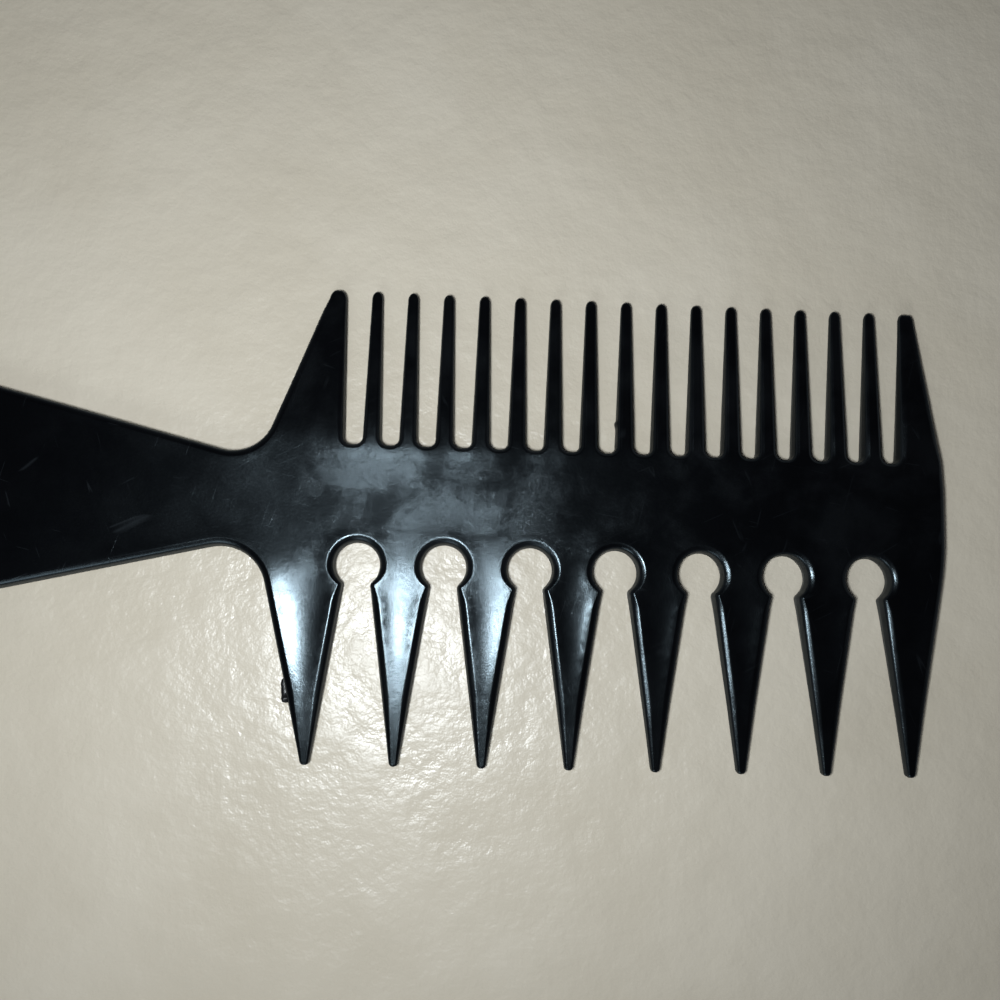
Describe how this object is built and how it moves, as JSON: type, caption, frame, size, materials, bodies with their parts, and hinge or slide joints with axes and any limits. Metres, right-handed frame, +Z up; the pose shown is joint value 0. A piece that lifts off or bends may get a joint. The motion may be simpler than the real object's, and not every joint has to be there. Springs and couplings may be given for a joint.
{
  "type": "two-sided styling comb",
  "caption": "Flat black plastic styling comb with a flared handle, narrow teeth along one edge and wide tapered teeth with keyhole gaps along the other.",
  "frame": {"origin": "on the underside, under the middle of the comb's outline", "axes": "+X along the comb from the handle to the far end, +Y towards the narrow teeth, +Z up out of the face that is on top when the comb lies flat"},
  "size_m": [0.19, 0.074, 0.004],
  "materials": {
    "plastic": "moulded black plastic, satin gloss with fine grain and handling scratches"
  },
  "bodies": {
    "root": {"handle": "plastic", "neck": "plastic", "spine": "plastic", "fine_tooth_01": "plastic", "fine_tooth_02": "plastic", "fine_tooth_03": "plastic", "fine_tooth_04": "plastic", "fine_tooth_05": "plastic", "fine_tooth_06": "plastic", "fine_tooth_07": "plastic", "fine_tooth_08": "plastic", "fine_tooth_09": "plastic", "fine_tooth_10": "plastic", "fine_tooth_11": "plastic", "fine_tooth_12": "plastic", "fine_tooth_13": "plastic", "fine_tooth_14": "plastic", "fine_tooth_15": "plastic", "fine_tooth_16": "plastic", "fine_tooth_17": "plastic", "wide_tooth_1": "plastic", "wide_tooth_2": "plastic", "wide_tooth_3": "plastic", "wide_tooth_4": "plastic", "wide_tooth_5": "plastic", "wide_tooth_6": "plastic", "wide_tooth_7": "plastic", "wide_tooth_8": "plastic", "gate_mark": "plastic"}
  },
  "joints": []
}
